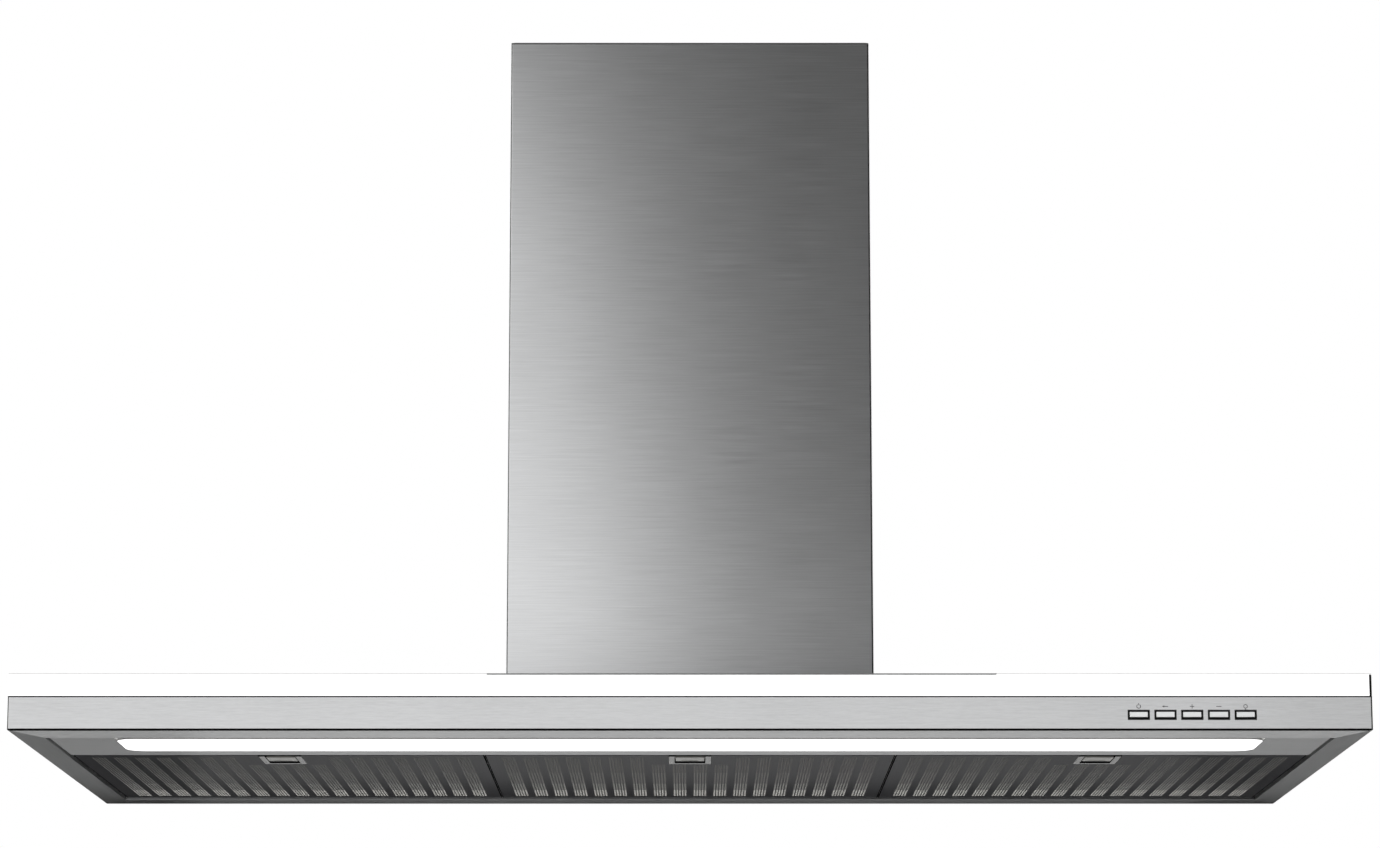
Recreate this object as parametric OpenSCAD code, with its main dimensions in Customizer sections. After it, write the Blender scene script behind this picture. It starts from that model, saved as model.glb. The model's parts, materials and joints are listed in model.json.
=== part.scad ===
// Island range hood: a slim canopy with a lit band, hung under a telescopic chimney.
// The ceiling is z = 0, the front faces -Y, and all sizes are in millimetres.

/* [Canopy] */
// Width of the canopy, left to right
canopy_w = 1200; // [1190:1:1215]
// Depth of the canopy, front to rear
canopy_d = 650; // [645:1:660]
// Height of the steel band round the canopy
band_h = 30; // [30:1:36]
// Height of the lit band above the steel band
glow_h = 20; // [20:1:26]
// Thickness of the canopy's sheet steel
sheet = 1.2; // [1:0.1:1.4]
// Width of the flat lip under the front edge
front_lip = 62; // [60:1:64]
// Width of the flat lips under the left and right edges
side_lip = 24; // [22:1:26]
// Width of the flat lip under the rear edge
rear_lip = 39; // [37:1:41]
// Depth of the lamp panel behind the front lip
lamp_panel_d = 160; // [158:1:162]

/* [Chimney] */
// Width of the outer chimney
chimney_w = 340; // [340:1:350]
// Depth of the outer chimney
chimney_d = 280; // [280:1:290]
// Height of the outer chimney above the canopy
chimney_h = 629; // [605:1:660]
// Thickness of the chimney's sheet steel
chimney_sheet = 1.2; // [1:0.1:1.3]
// How far the canopy can be lowered from its highest place
height_travel = 420; // [300:10:420]

/* [Filters] */
// Number of perforated stripes across each filter
stripes = 18; // [14:1:18]
// Distance from one stripe to the next
stripe_pitch = 20; // [18:0.5:20]
// Width of one perforated stripe
stripe_w = 13.5; // [11:0.5:14]
// Thickness of a filter's frame
filter_frame_h = 9.2; // [8.8:0.1:9.4]

/* [Buttons] */
// Distance of the middle button from the canopy's centre
button_mid_x = 441.5; // [400:0.5:460]
// Distance from one button to the next
button_pitch = 23.5; // [22:0.5:26]
// Width of a button's window
window_w = 18.3; // [17.5:0.1:19]
// Height of a button's window
window_h = 7.8; // [7.6:0.1:8.4]

/* [Blower] */
// Outer radius of the outlet collar
collar_r = 75; // [74:0.5:76]
// Outer radius of the blower wheel
wheel_r = 65; // [62:1:66]
// Number of blades on the blower wheel
blades = 30; // [20:1:36]

/* [Hidden] */

// Levels, from the ceiling down
top_z = -chimney_h;
band_z = top_z - glow_h;
under_z = band_z - band_h;
deck_z = band_z - sheet;
panel_z = under_z + 2.5;
side_x = canopy_w / 2;
front_y = -canopy_d / 2;
rear_y = canopy_d / 2;
lip_in_x = side_x - side_lip;
lip_in_y = front_y + front_lip;
panel_rear_y = lip_in_y + lamp_panel_d;
rear_in_y = rear_y - rear_lip;
seam = 0.3;

// Chimney and hanging frame
slide_gap = 0.6;
upper_sheet = 1;
upper_w = chimney_w - 2 * (chimney_sheet + slide_gap);
upper_d = chimney_d - 2 * (chimney_sheet + slide_gap);
upper_h = 560;
plate_t = 3;
plate_w = upper_w - 2 * upper_sheet - 0.1;
plate_d = upper_d - 2 * upper_sheet - 0.1;
duct_y = 6;
duct_hole_r = 85;
anchor_x = 125;
anchor_y = 75;
anchor_r = 4.5;
supply_x = -114;
supply_y = 30;
supply_r = 9;
screw_x = 40;
screw_z = -14;
screw_r = 2;
post_t = 2;
post_leg = 26;
post_x = 163;
post_y = 133;
post_gap = 0.1;
lower_post_top = -60;
bolt_z = lower_post_top - 30;
bolt_x = post_x - 13;
bolt_r = 3;
slot_r = 3.3;
well_x = post_x + 1;
well_y = post_y + 1;

// Lamp
lens_x = 516;
lens_front_y = lip_in_y + 19;
lens_rear_y = lens_front_y + 94.5;
lens_t = 3;
lens_z = under_z + 1;
lens_corner = 18;
lens_pivot_y = lens_rear_y - 3.5;
lens_pivot_z = lens_z + 5.5;
lens_ear_r = 2.3;
lens_rear_gap = 5.5;
lens_hole_corner = 12;
lens_pin_r = 1.5;
lens_lug_x = 500;
tube_r = 8;
tube_len = 849;
tube_z = under_z + 18;
tube_ys = [lens_front_y + 24, lens_rear_y - 26];

// Filters
filter_gap = 0.8;
filter_side_gap = 2.95;
filter_w = (2 * (lip_in_x - filter_side_gap) - 2 * filter_gap) / 3;
filter_step = filter_w + filter_gap;
filter_front_y = panel_rear_y + 0.5;
filter_rear_y = rear_in_y - 4.5;
face_t = 0.8;
face_z = under_z + 2;
frame_z = face_z + face_t;
rail_w = 12;
filter_pivot_y = filter_rear_y - 6.5;
filter_pivot_z = face_z + 5;
filter_pin_r = 2;
run_gap = 0.05;
notch_w = 8;
notch_d = 20;
ear_x = 3;
ear_t = 2;
stripe_end = 16;
latch_stripe_y = filter_front_y + 80;

// Latches
latch_w = 40;
latch_d = 72;
latch_h = 8;
tab_w = 28;
tab_d = 38;
tab_front_y = filter_front_y + 15.5;
latch_wall = 3.2;
pocket_end_y = filter_front_y + 65.5;

// Buttons
window_z = under_z + 13.2;
key_w = 16;
key_h = 4.6;
key_z = window_z + 0.4;
key_gap = 0.2;
button_xs = [for (i = [-2:2]) button_mid_x + i * button_pitch];
board_y = front_y + 21;

// Blower
box_x = 134;
box_y = 128;
box_top = -310;
box_wall = 1;
wheel_y = -30;
wheel_z = -480;
wheel_w = 100;
inlet_r = 54;
scroll_w = 120;
scroll_wall = 1.2;
tongue_a = 65;
scroll_r0 = 70;
scroll_r1 = 105;
shaft_r = 4;
motor_r = 34;
collar_top = -250;
collar_wall = 1.5;
flap_z = -296;
flap_offset = 4;
flap_r = collar_r - 4;
lead_ys = [-20, 12];
lead_hole_r = 5;
grommet_x = -240;
grommet_y = front_y + 30;

steel = [0.72, 0.73, 0.74];
dark = [0.12, 0.12, 0.13];
opal = [0.95, 0.95, 0.93];
zinc = [0.6, 0.62, 0.64];
pale = [0.8, 0.81, 0.82];
copper = [0.7, 0.45, 0.3];
fine = 64;

// A box from its lowest corner to its highest corner
module block(lo, hi) {
  translate(lo) cube(hi - lo);
}

module rounded(w, d, r) {
  square([w - 2 * r, d], center = true);
  square([w, d - 2 * r], center = true);
  for (sx = [-1, 1], sy = [-1, 1])
    translate([sx * (w / 2 - r), sy * (d / 2 - r)]) circle(r, $fn = fine);
}

// A square tube standing on z, with rounded corners
module sleeve(w, d, wall, r, z, h) {
  translate([0, 0, z]) linear_extrude(h)
    difference() {
      rounded(w, d, r);
      rounded(w - 2 * wall, d - 2 * wall, r - wall / 2);
    }
}

module four_corners() {
  for (sx = [0, 1], sy = [0, 1])
    mirror([sx, 0, 0]) mirror([0, sy, 0]) children();
}

// An angle profile whose outer corner is at (x, y), with both legs towards the centre
module angle(x, y, leg, t, z, h) {
  block([x - leg, y - t, z], [x, y, z + h]);
  block([x - t, y - leg, z], [x, y - t, z + h]);
}

module along_x(x, y, z, r, length) {
  translate([x, y, z]) rotate([0, 90, 0]) cylinder(h = length, r = r, $fn = fine);
}

module along_y(x, y, z, r, length) {
  translate([x, y, z]) rotate([-90, 0, 0]) cylinder(h = length, r = r, $fn = fine);
}

// A tube swept along points, its rings turned to each point's direction
function unit(v) = v / norm(v);
function heading(p, i) = unit(p[min(i + 1, len(p) - 1)] - p[max(i - 1, 0)]);
function ring(p, i, r, n) =
  let (t = heading(p, i), u = unit(cross(t, [0.31, 0.5, 0.81])), v = cross(t, u))
  [for (k = [0:n - 1]) p[i] + r * (cos(360 * k / n) * u + sin(360 * k / n) * v)];
module lead(p, r) {
  n = 8;
  rings = len(p);
  points = [for (i = [0:rings - 1]) each ring(p, i, r, n)];
  sides = [
    for (i = [0:rings - 2], k = [0:n - 1])
      [i * n + k, i * n + (k + 1) % n, (i + 1) * n + (k + 1) % n, (i + 1) * n + k]
  ];
  start = [for (k = [n - 1:-1:0]) k];
  end = [for (k = [0:n - 1]) (rings - 1) * n + k];
  polyhedron(points, concat(sides, [start, end]));
}

// ---- Fixed to the ceiling

module ceiling_plate() {
  flange_h = 22;
  flange_x = 60;
  color(zinc)
    difference() {
      union() {
        block([-plate_w / 2, -plate_d / 2, -plate_t], [plate_w / 2, plate_d / 2, 0]);
        for (s = [0, 1])
          mirror([0, s, 0])
            block([-flange_x, plate_d / 2 - 2, -flange_h], [flange_x, plate_d / 2, -plate_t]);
      }
      translate([0, duct_y, -10]) cylinder(h = 20, r = duct_hole_r, $fn = fine);
      for (sx = [-1, 1], sy = [-1, 1])
        translate([sx * anchor_x, sy * anchor_y, -10]) cylinder(h = 20, r = anchor_r, $fn = fine);
      translate([supply_x, supply_y, -10]) cylinder(h = 20, r = supply_r, $fn = fine);
      for (sx = [-1, 1])
        along_y(sx * screw_x, -plate_d, screw_z, screw_r, 2 * plate_d);
    }
}

module upper_posts() {
  x = post_x - post_t - post_gap;
  y = post_y - post_t - post_gap;
  leg = post_leg - post_t - 0.5;
  color(zinc)
    four_corners()
      difference() {
        angle(x, y, leg, post_t, -upper_h, upper_h - plate_t);
        for (z = [bolt_z, bolt_z - height_travel])
          along_y(bolt_x, y - 5, z, slot_r, 10);
        block([bolt_x - slot_r, y - 5, bolt_z - height_travel], [bolt_x + slot_r, y + 5, bolt_z]);
      }
}

module upper_chimney() {
  color(steel)
    difference() {
      sleeve(upper_w, upper_d, upper_sheet, 1.6, -upper_h, upper_h - 0.5);
      for (sx = [-1, 1])
        along_y(sx * screw_x, -chimney_d, screw_z, screw_r, 2 * chimney_d);
    }
}

module chimney_screws() {
  color(zinc)
    for (sx = [-1, 1], s = [0, 1])
      mirror([0, s, 0]) along_y(sx * screw_x, upper_d / 2 - 8, screw_z, screw_r - 0.01, 8);
}

// ---- Chimney and hanging frame of the hood

module lower_chimney() {
  color(steel) sleeve(chimney_w, chimney_d, chimney_sheet, 2, top_z, chimney_h - 1);
}

// A thin frame with a hollow curve, round the foot of the chimney
module chimney_collar() {
  foot = 6;
  clear = 0.1;
  w = chimney_w / 2 + clear;
  d = chimney_d / 2 + clear;
  color(steel)
    difference() {
      translate([0, 0, top_z]) linear_extrude(foot)
        difference() {
          rounded(2 * (w + foot), 2 * (d + foot), 3);
          rounded(2 * w, 2 * d, 2);
        }
      for (s = [-1, 1]) {
        along_x(-w - 20, s * (d + foot), top_z + foot + 0.4, foot - 0.4, 2 * w + 40);
        along_y(s * (w + foot), -d - 20, top_z + foot + 0.4, foot - 0.4, 2 * d + 40);
      }
    }
}

module lower_posts() {
  h = lower_post_top - band_z;
  color(zinc)
    four_corners()
      difference() {
        union() {
          angle(post_x, post_y, post_leg, post_t, band_z, h);
          block([post_x - post_leg, post_y - post_leg, band_z],
                [post_x - post_t, post_y - post_t, band_z + 2]);
        }
        along_y(bolt_x, post_y - 5, bolt_z, bolt_r + 0.1, 10);
      }
}

module frame_bolts() {
  inner = post_y - 2 * post_t - post_gap;
  color(zinc)
    four_corners() {
      along_y(bolt_x, inner - 8, bolt_z, bolt_r, post_y - inner + 8);
      along_y(bolt_x, post_y, bolt_z, 6, 3);
      translate([bolt_x, inner - 5, bolt_z]) rotate([-90, 0, 0]) cylinder(h = 4.8, r = 5.5, $fn = 6);
    }
}

// ---- Canopy

module plate_with_hole(w, d, z, t, hole_x, hole_y) {
  difference() {
    block([-w / 2, -d / 2, z], [w / 2, d / 2, z + t]);
    block([-hole_x, -hole_y, z - 1], [hole_x, hole_y, z + t + 1]);
  }
}

module top_cover() {
  color(steel) plate_with_hole(canopy_w, canopy_d, top_z - sheet, sheet, well_x, well_y);
}

module canopy_deck() {
  inner = sheet + 0.2;
  color(zinc)
    difference() {
      plate_with_hole(canopy_w - 2 * inner, canopy_d - 2 * inner, deck_z, sheet, box_x - 10, box_y - 10);
      translate([grommet_x, grommet_y, deck_z - 1]) cylinder(h = 4, r = 7, $fn = fine);
    }
}

// Front and rear are folded from one sheet each: a face, a lip under it and an upstand on the lip
module canopy_front() {
  color(steel)
    difference() {
      union() {
        block([-side_x, front_y, under_z], [side_x, front_y + sheet, band_z]);
        translate([0, 0, under_z]) linear_extrude(sheet)
          polygon([[-side_x, front_y], [side_x, front_y], [lip_in_x, lip_in_y], [-lip_in_x, lip_in_y]]);
        block([-lip_in_x, lip_in_y - sheet, under_z], [lip_in_x, lip_in_y, under_z + 10]);
      }
      for (x = button_xs)
        block([x - window_w / 2, front_y - 1, window_z - window_h / 2],
              [x + window_w / 2, front_y + sheet + 0.01, window_z + window_h / 2]);
    }
}

module canopy_rear() {
  color(steel)
    union() {
      block([-side_x, rear_y - sheet, under_z], [side_x, rear_y, band_z]);
      translate([0, 0, under_z]) linear_extrude(sheet)
        polygon([[-side_x, rear_y], [side_x, rear_y], [lip_in_x, rear_in_y], [-lip_in_x, rear_in_y]]);
      block([-lip_in_x, rear_in_y, under_z], [lip_in_x, rear_in_y + sheet, under_z + 16]);
    }
}

module canopy_side() {
  mitre = 3 * seam;
  color(steel)
    union() {
      block([side_x - sheet, front_y + sheet + seam, under_z + sheet],
            [side_x, rear_y - sheet - seam, band_z]);
      translate([0, 0, under_z]) linear_extrude(sheet)
        polygon([
          [side_x, front_y + mitre], [side_x, rear_y - mitre],
          [lip_in_x, rear_in_y - mitre], [lip_in_x, lip_in_y + mitre]
        ]);
      block([lip_in_x, lip_in_y + mitre, under_z + sheet],
            [lip_in_x + sheet, rear_in_y - mitre, under_z + 16]);
    }
}

module canopy_right() {
  canopy_side();
}

module canopy_left() {
  mirror([1, 0, 0]) canopy_side();
}

// The lit band is four opal strips between the steel band and the top cover
module glow_band() {
  strip_t = 4;
  color(opal)
    for (s = [0, 1]) {
      mirror([0, s, 0])
        block([-side_x, front_y, band_z], [side_x, front_y + strip_t, top_z - sheet]);
      mirror([s, 0, 0])
        block([side_x - strip_t, front_y + strip_t + seam, band_z],
              [side_x, rear_y - strip_t - seam, top_z - sheet]);
    }
}

module glow_leds() {
  back = 16;
  count = 24;
  x = side_x - back;
  y = rear_y - back;
  pitch = 2 * (x - 30) / (count - 1);
  color(pale)
    for (s = [0, 1])
      mirror([0, s, 0])
        union() {
          block([-x, y - 1.6, band_z], [x, y, band_z + 12]);
          for (i = [0:count - 1])
            block([-x + 28 + i * pitch, y, band_z + 4], [-x + 32 + i * pitch, y + 1.5, band_z + 8]);
        }
}

// ---- Lamp

module lamp_panel() {
  hole_x = lens_x + 2;
  hole_front = lens_front_y - 2;
  hole_rear = lens_rear_y + lens_rear_gap;
  x = lip_in_x - 0.5;
  y0 = lip_in_y + 0.4;
  y1 = panel_rear_y - 0.4;
  color(steel)
    difference() {
      union() {
        block([-x, y0, panel_z], [x, y1, panel_z + sheet]);
        block([-x, y1 - sheet, panel_z], [x, y1, panel_z + 10]);
        block([-x, y0, panel_z], [x, y0 + sheet, panel_z + 10]);
      }
      translate([0, (hole_front + hole_rear) / 2, panel_z - 1]) linear_extrude(sheet + 2)
        rounded(2 * hole_x, hole_rear - hole_front, lens_hole_corner);
    }
}

module lamp_reflector() {
  wall = 0.8;
  x = lens_x + 14;
  y0 = lens_front_y - 8;
  y1 = lens_rear_y + 9;
  z0 = panel_z + sheet;
  color([0.93, 0.93, 0.92])
    union() {
      difference() {
        block([-x, y0, z0], [x, y1, deck_z - wall]);
        block([-x + wall, y0 + wall, z0 - 1], [x - wall, y1 - wall, deck_z - 2 * wall]);
      }
      for (ear = [-lens_lug_x - 4, lens_lug_x + 4])
        difference() {
          union() {
            along_x(ear - 1, lens_pivot_y, lens_pivot_z, lens_ear_r, 2);
            block([ear - 1, lens_pivot_y - lens_ear_r, lens_pivot_z],
                  [ear + 1, lens_pivot_y + lens_ear_r, deck_z - 1.5 * wall]);
          }
          along_x(ear - 5, lens_pivot_y, lens_pivot_z, lens_pin_r + run_gap, 10);
        }
    }
}

module lamp_tubes() {
  color([0.97, 0.97, 0.96])
    for (y = tube_ys)
      union() {
        along_x(-tube_len / 2, y, tube_z, tube_r, tube_len);
        for (dy = [-2.4, 2.4])
          along_x(-tube_len / 2 - 6, y + dy, tube_z, 1.1, tube_len + 12);
      }
}

module lamp_holders() {
  top = deck_z - 1.6;
  color(opal)
    for (s = [-1, 1], y = tube_ys)
      difference() {
        block([s * (tube_len / 2 + 6.5) - 6, y - 9, tube_z - 9],
              [s * (tube_len / 2 + 6.5) + 6, y + 9, top]);
        for (dy = [-2.4, 2.4])
          along_x(s * (tube_len / 2 + 6.5) - 8, y + dy, tube_z, 1.15, 16);
      }
}

module ballast() {
  x0 = -60;
  x1 = 200;
  y0 = front_y + 12;
  y1 = front_y + 42;
  foot = 14;
  color(pale)
    union() {
      block([x0, y0, under_z + 6], [x1, y1, deck_z - sheet]);
      block([x0 - foot, y0, deck_z - sheet], [x1 + foot, y1, deck_z]);
    }
}

module lamp_diffuser() {
  mid_y = (lens_front_y + lens_rear_y) / 2;
  color(opal)
    union() {
      translate([0, mid_y, lens_z]) linear_extrude(lens_t)
        rounded(2 * lens_x, lens_rear_y - lens_front_y, lens_corner);
      for (s = [-1, 1]) {
        block([s * lens_lug_x - 1.5, lens_pivot_y - 4, lens_z + lens_t - 0.01],
              [s * lens_lug_x + 1.5, lens_pivot_y + 2.5, lens_pivot_z + 2]);
        along_x(s * (lens_lug_x + 3) - 4, lens_pivot_y, lens_pivot_z, lens_pin_r, 8);
      }
    }
}

// ---- Buttons and electrics in the front of the canopy

module button_bezel() {
  x0 = button_xs[0] - 13;
  x1 = button_xs[4] + 13;
  back = front_y + sheet;
  rim = 0.1;
  color(dark)
    difference() {
      union() {
        block([x0, back, window_z - 9], [x1, back + 2, window_z + 9]);
        for (x = button_xs)
          block([x - window_w / 2 + rim, front_y + 0.4, window_z - window_h / 2 + rim],
                [x + window_w / 2 - rim, back + 1, window_z + window_h / 2 - rim]);
        for (x = [x0, x1 - 3])
          block([x, back + 2, window_z - 9], [x + 3, board_y, window_z + 9]);
      }
      for (x = button_xs)
        block([x - key_w / 2 - key_gap, front_y - 1, key_z - key_h / 2 - key_gap],
              [x + key_w / 2 + key_gap, back + 3, key_z + key_h / 2 + key_gap]);
    }
}

module button_board() {
  x0 = button_xs[0] - 13;
  x1 = button_xs[4] + 13;
  color([0.1, 0.35, 0.2])
    union() {
      block([x0, board_y, window_z - 9], [x1, board_y + 1.6, window_z + 9]);
      for (x = button_xs)
        difference() {
          block([x - 3.5, board_y - 5, key_z - 3.5], [x + 3.5, board_y + 0.5, key_z + 3.5]);
          along_y(x, board_y - 6, key_z, 1.6, 5.5);
        }
    }
}

module button(i) {
  x = button_xs[i];
  back = front_y + sheet + 2;
  color(pale)
    union() {
      block([x - key_w / 2, front_y - 0.2, key_z - key_h / 2],
            [x + key_w / 2, back + 0.2, key_z + key_h / 2]);
      block([x - key_w / 2 - 1, back + 0.1, key_z - key_h / 2 - 1],
            [x + key_w / 2 + 1, back + 1.3, key_z + key_h / 2 + 1]);
      along_y(x, back, key_z, 1.5, board_y - 3 - back);
    }
}

module control_box() {
  x0 = -330;
  x1 = -150;
  y0 = front_y + 8;
  y1 = front_y + 52;
  z0 = under_z + 5;
  color(dark)
    difference() {
      block([x0, y0, z0], [x1, y1, deck_z]);
      block([x0 + 2, y0 + 2, z0 + 2], [x1 - 2, y1 - 2, deck_z - 2]);
      translate([grommet_x, grommet_y, deck_z - 3]) cylinder(h = 6, r = lead_hole_r, $fn = fine);
      along_x(x1 - 3, button_lead_y, deck_z - 8, 3, 6);
    }
}

// Held leads: supply, motor, button and lamp, each clipped to the sheet metal it passes
button_lead_y = front_y + 47;
supply_path = [
  [supply_x, lead_ys[0], box_top + 3], [supply_x, lead_ys[0], box_top - 12], [-115, -60, box_top - 30],
  [-116, -104, box_top - 50], [-118, -116, box_top - 90], [-118, -116, band_z + 60],
  [-118, -118, band_z + 20], [-120, -128, band_z + 9], [-132, -150, band_z + 7],
  [-190, -220, band_z + 7], [-234, -270, band_z + 7], [-240, -290, band_z + 5],
  [grommet_x, grommet_y, band_z - 4], [grommet_x, grommet_y, deck_z - 8]
];
motor_path = [
  [-99, wheel_y, wheel_z], [-108, wheel_y, wheel_z + 4], [-114, wheel_y, wheel_z + 16],
  [-116, -28, wheel_z + 60], [-116, 0, box_top - 60], [-115, 10, box_top - 20],
  [supply_x, lead_ys[1], box_top - 4], [supply_x, lead_ys[1], box_top + 3]
];
button_path = [
  [button_xs[0] - 8, board_y + 1.6, window_z], [button_xs[0] - 8, board_y + 5, window_z],
  [button_xs[0] - 12, board_y + 12, window_z + 1], [button_xs[0] - 30, button_lead_y - 3, window_z + 4],
  [300, button_lead_y, deck_z - 8], [100, button_lead_y, deck_z - 8],
  [-148, button_lead_y, deck_z - 8], [-156, button_lead_y, deck_z - 8]
];
module wiring() {
  color(dark) {
    lead(supply_path, 3.5);
    lead(motor_path, 3);
    lead(button_path, 2);
  }
}

// Ears that hold the filters' hinge pins, on feet under the deck
module filter_brackets() {
  color(zinc)
    for (i = [-1:1], s = [-1, 1]) {
      x = i * filter_step + s * (filter_w / 2 - ear_x - ear_t / 2);
      difference() {
        union() {
          along_x(x - ear_t / 2, filter_pivot_y, filter_pivot_z, 3.5, ear_t);
          block([x - ear_t / 2, filter_pivot_y - 3.5, filter_pivot_z],
                [x + ear_t / 2, filter_pivot_y + 3.5, deck_z]);
          block([x - s * 6 - 7, filter_pivot_y - 8, deck_z - 1.5],
                [x - s * 6 + 7, filter_pivot_y + 8, deck_z]);
        }
        along_x(x - 5, filter_pivot_y, filter_pivot_z, filter_pin_r + run_gap, 10);
      }
    }
}

// ---- Blower in the chimney

module blower_box() {
  flange = 10;
  color(zinc)
    difference() {
      block([-box_x, -box_y, band_z], [box_x, box_y, box_top]);
      block([-box_x + box_wall, -box_y + box_wall, band_z + box_wall],
            [box_x - box_wall, box_y - box_wall, box_top - box_wall]);
      block([-box_x + flange, -box_y + flange, band_z - 1], [box_x - flange, box_y - flange, band_z + 2]);
      block([-scroll_w / 2, -62, box_top - 3], [scroll_w / 2, 75, box_top + 1]);
      for (y = lead_ys)
        translate([supply_x, y, box_top - 3]) cylinder(h = 6, r = lead_hole_r, $fn = fine);
      along_y(-120, -box_y - 2, band_z + 9, 6, 4);
    }
}

// The scroll's outline, seen along X: a spiral from the tongue, then up to the outlet
function spiral(grow, start_a) = [
  for (i = [0:24])
    let (a = start_a + (360 - start_a) * i / 24, r = scroll_r0 + (scroll_r1 - scroll_r0) * i / 24 + grow)
    [wheel_y + r * cos(a), wheel_z + r * sin(a)]
];
function scroll_outline(grow) = concat(
  [[-60 - 1.5 * grow, box_top - box_wall]],
  spiral(grow, tongue_a + 5 * grow),
  [[wheel_y + scroll_r1 + grow, box_top - box_wall]]
);

module blower_scroll() {
  color(zinc)
    rotate([90, 0, 90]) translate([0, 0, -scroll_w / 2]) linear_extrude(scroll_w)
      difference() {
        polygon(scroll_outline(scroll_wall));
        translate([0, 0.01]) polygon(scroll_outline(0));
      }
}

module blower_sides() {
  color(zinc)
    for (s = [-1, 1])
      difference() {
        union() {
          rotate([90, 0, 90]) translate([0, 0, s * (scroll_w + scroll_wall) / 2 - scroll_wall / 2])
            linear_extrude(scroll_wall) polygon(scroll_outline(scroll_wall));
          along_x(s * (scroll_w / 2 - 3) - 3, wheel_y, wheel_z, inlet_r + 1.2, 6);
        }
        along_x(s * scroll_w / 2 - 10, wheel_y, wheel_z, inlet_r, 20);
      }
}

module impeller() {
  ring_w = 2;
  color(dark)
    union() {
      difference() {
        union() {
          along_x(0, wheel_y, wheel_z, wheel_r - 1, 1.5);
          along_x(-4, wheel_y, wheel_z, 12, 24);
        }
        along_x(-10, wheel_y, wheel_z, shaft_r, 40);
      }
      for (x = [-wheel_w / 2, wheel_w / 2 - ring_w])
        difference() {
          along_x(x, wheel_y, wheel_z, wheel_r, ring_w);
          along_x(x - 1, wheel_y, wheel_z, wheel_r - 6, ring_w + 2);
        }
      for (i = [0:blades - 1])
        translate([0, wheel_y, wheel_z]) rotate([360 * i / blades, 0, 0]) translate([0, 0, wheel_r - 6])
          rotate([35, 0, 0]) translate([0, -0.4, -6]) block([-wheel_w / 2, 0, 0], [wheel_w / 2, 0.8, 11]);
    }
}

module motor_shaft() {
  color(zinc) along_x(-40, wheel_y, wheel_z, shaft_r, 64);
}

module motor() {
  color(pale)
    difference() {
      union() {
        along_x(-96, wheel_y, wheel_z, motor_r, 84);
        along_x(-12, wheel_y, wheel_z, 14, 6);
      }
      along_x(-41, wheel_y, wheel_z, shaft_r + run_gap, 50);
    }
}

module motor_bracket() {
  color(zinc)
    difference() {
      union() {
        along_x(-98, wheel_y, wheel_z, motor_r - 4, 2);
        for (a = [90, 210, 330])
          translate([0, wheel_y, wheel_z]) rotate([a, 0, 0]) {
            block([-98, -5, 20], [-96, 5, 63]);
            block([-96, -5, 61], [-scroll_w / 2 - scroll_wall, 5, 63]);
          }
      }
      along_x(-100, wheel_y, wheel_z, 5, 6);
    }
}

module capacitor() {
  x = 112;
  y = 98;
  z = band_z + 56;
  h = 60;
  color(pale)
    union() {
      translate([x, y, z]) cylinder(h = h, r = 15, $fn = fine);
      translate([x, y, z + h]) cylinder(h = 5, r = 4, $fn = fine);
      block([x, y + 10, z + 10], [box_x - box_wall, y + 14, z + 40]);
    }
}

module outlet_collar() {
  color(dark)
    difference() {
      union() {
        translate([0, duct_y, box_top]) cylinder(h = 1.5, r = 94, $fn = fine);
        translate([0, duct_y, box_top]) cylinder(h = collar_top - box_top, r = collar_r, $fn = fine);
      }
      difference() {
        translate([0, duct_y, box_top - 1])
          cylinder(h = collar_top - box_top + 2, r = collar_r - collar_wall, $fn = fine);
        block([-collar_r, duct_y - 1, flap_z - 3], [collar_r, duct_y + 1, flap_z + 3]);
      }
      for (s = [-1, 1])
        along_x(-collar_r - 1, duct_y + s * flap_offset, flap_z, 1.5 + run_gap, 2 * collar_r + 2);
    }
}

// A half disc on its own pin, beside the cross bar of the collar
module flap() {
  reach = collar_r - 0.2;
  color(pale)
    union() {
      along_x(-reach, flap_offset, 0, 1.5, 2 * reach);
      along_x(-flap_r + 2, flap_offset, 0, 2.2, 2 * flap_r - 4);
      intersection() {
        translate([0, 0, -0.5]) cylinder(h = 1, r = flap_r, $fn = fine);
        block([-flap_r, flap_offset, -1], [flap_r, flap_r, 1]);
      }
    }
}

module flap_rear() {
  translate([0, duct_y, flap_z]) flap();
}

module flap_front() {
  translate([0, duct_y, flap_z]) mirror([0, 1, 0]) flap();
}

module terminal_box() {
  x0 = supply_x - 18;
  x1 = supply_x + 18;
  h = 36;
  color(dark)
    difference() {
      block([x0, -50, box_top], [x1, 50, box_top + h]);
      block([x0 + 2, -48, box_top + 2], [x1 - 2, 48, box_top + h - 2]);
      for (y = lead_ys)
        translate([supply_x, y, box_top - 1]) cylinder(h = 4, r = lead_hole_r, $fn = fine);
      translate([supply_x, supply_y, box_top + h - 3]) cylinder(h = 5, r = 8, $fn = fine);
    }
}

module cable_gland() {
  top = box_top + 36;
  color(dark)
    translate([supply_x, supply_y, 0])
      difference() {
        union() {
          translate([0, 0, top - 6]) cylinder(h = 6, r = 7.9, $fn = fine);
          translate([0, 0, top]) cylinder(h = 5, r = 12, $fn = 6);
          translate([0, 0, top + 5]) cylinder(h = 8, r = 9, $fn = fine);
        }
        translate([0, 0, top - 7]) cylinder(h = 22, r = 4.5, $fn = fine);
      }
}

// ---- Filters: a frame, a perforated face, wire mesh layers and a latch each

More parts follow.
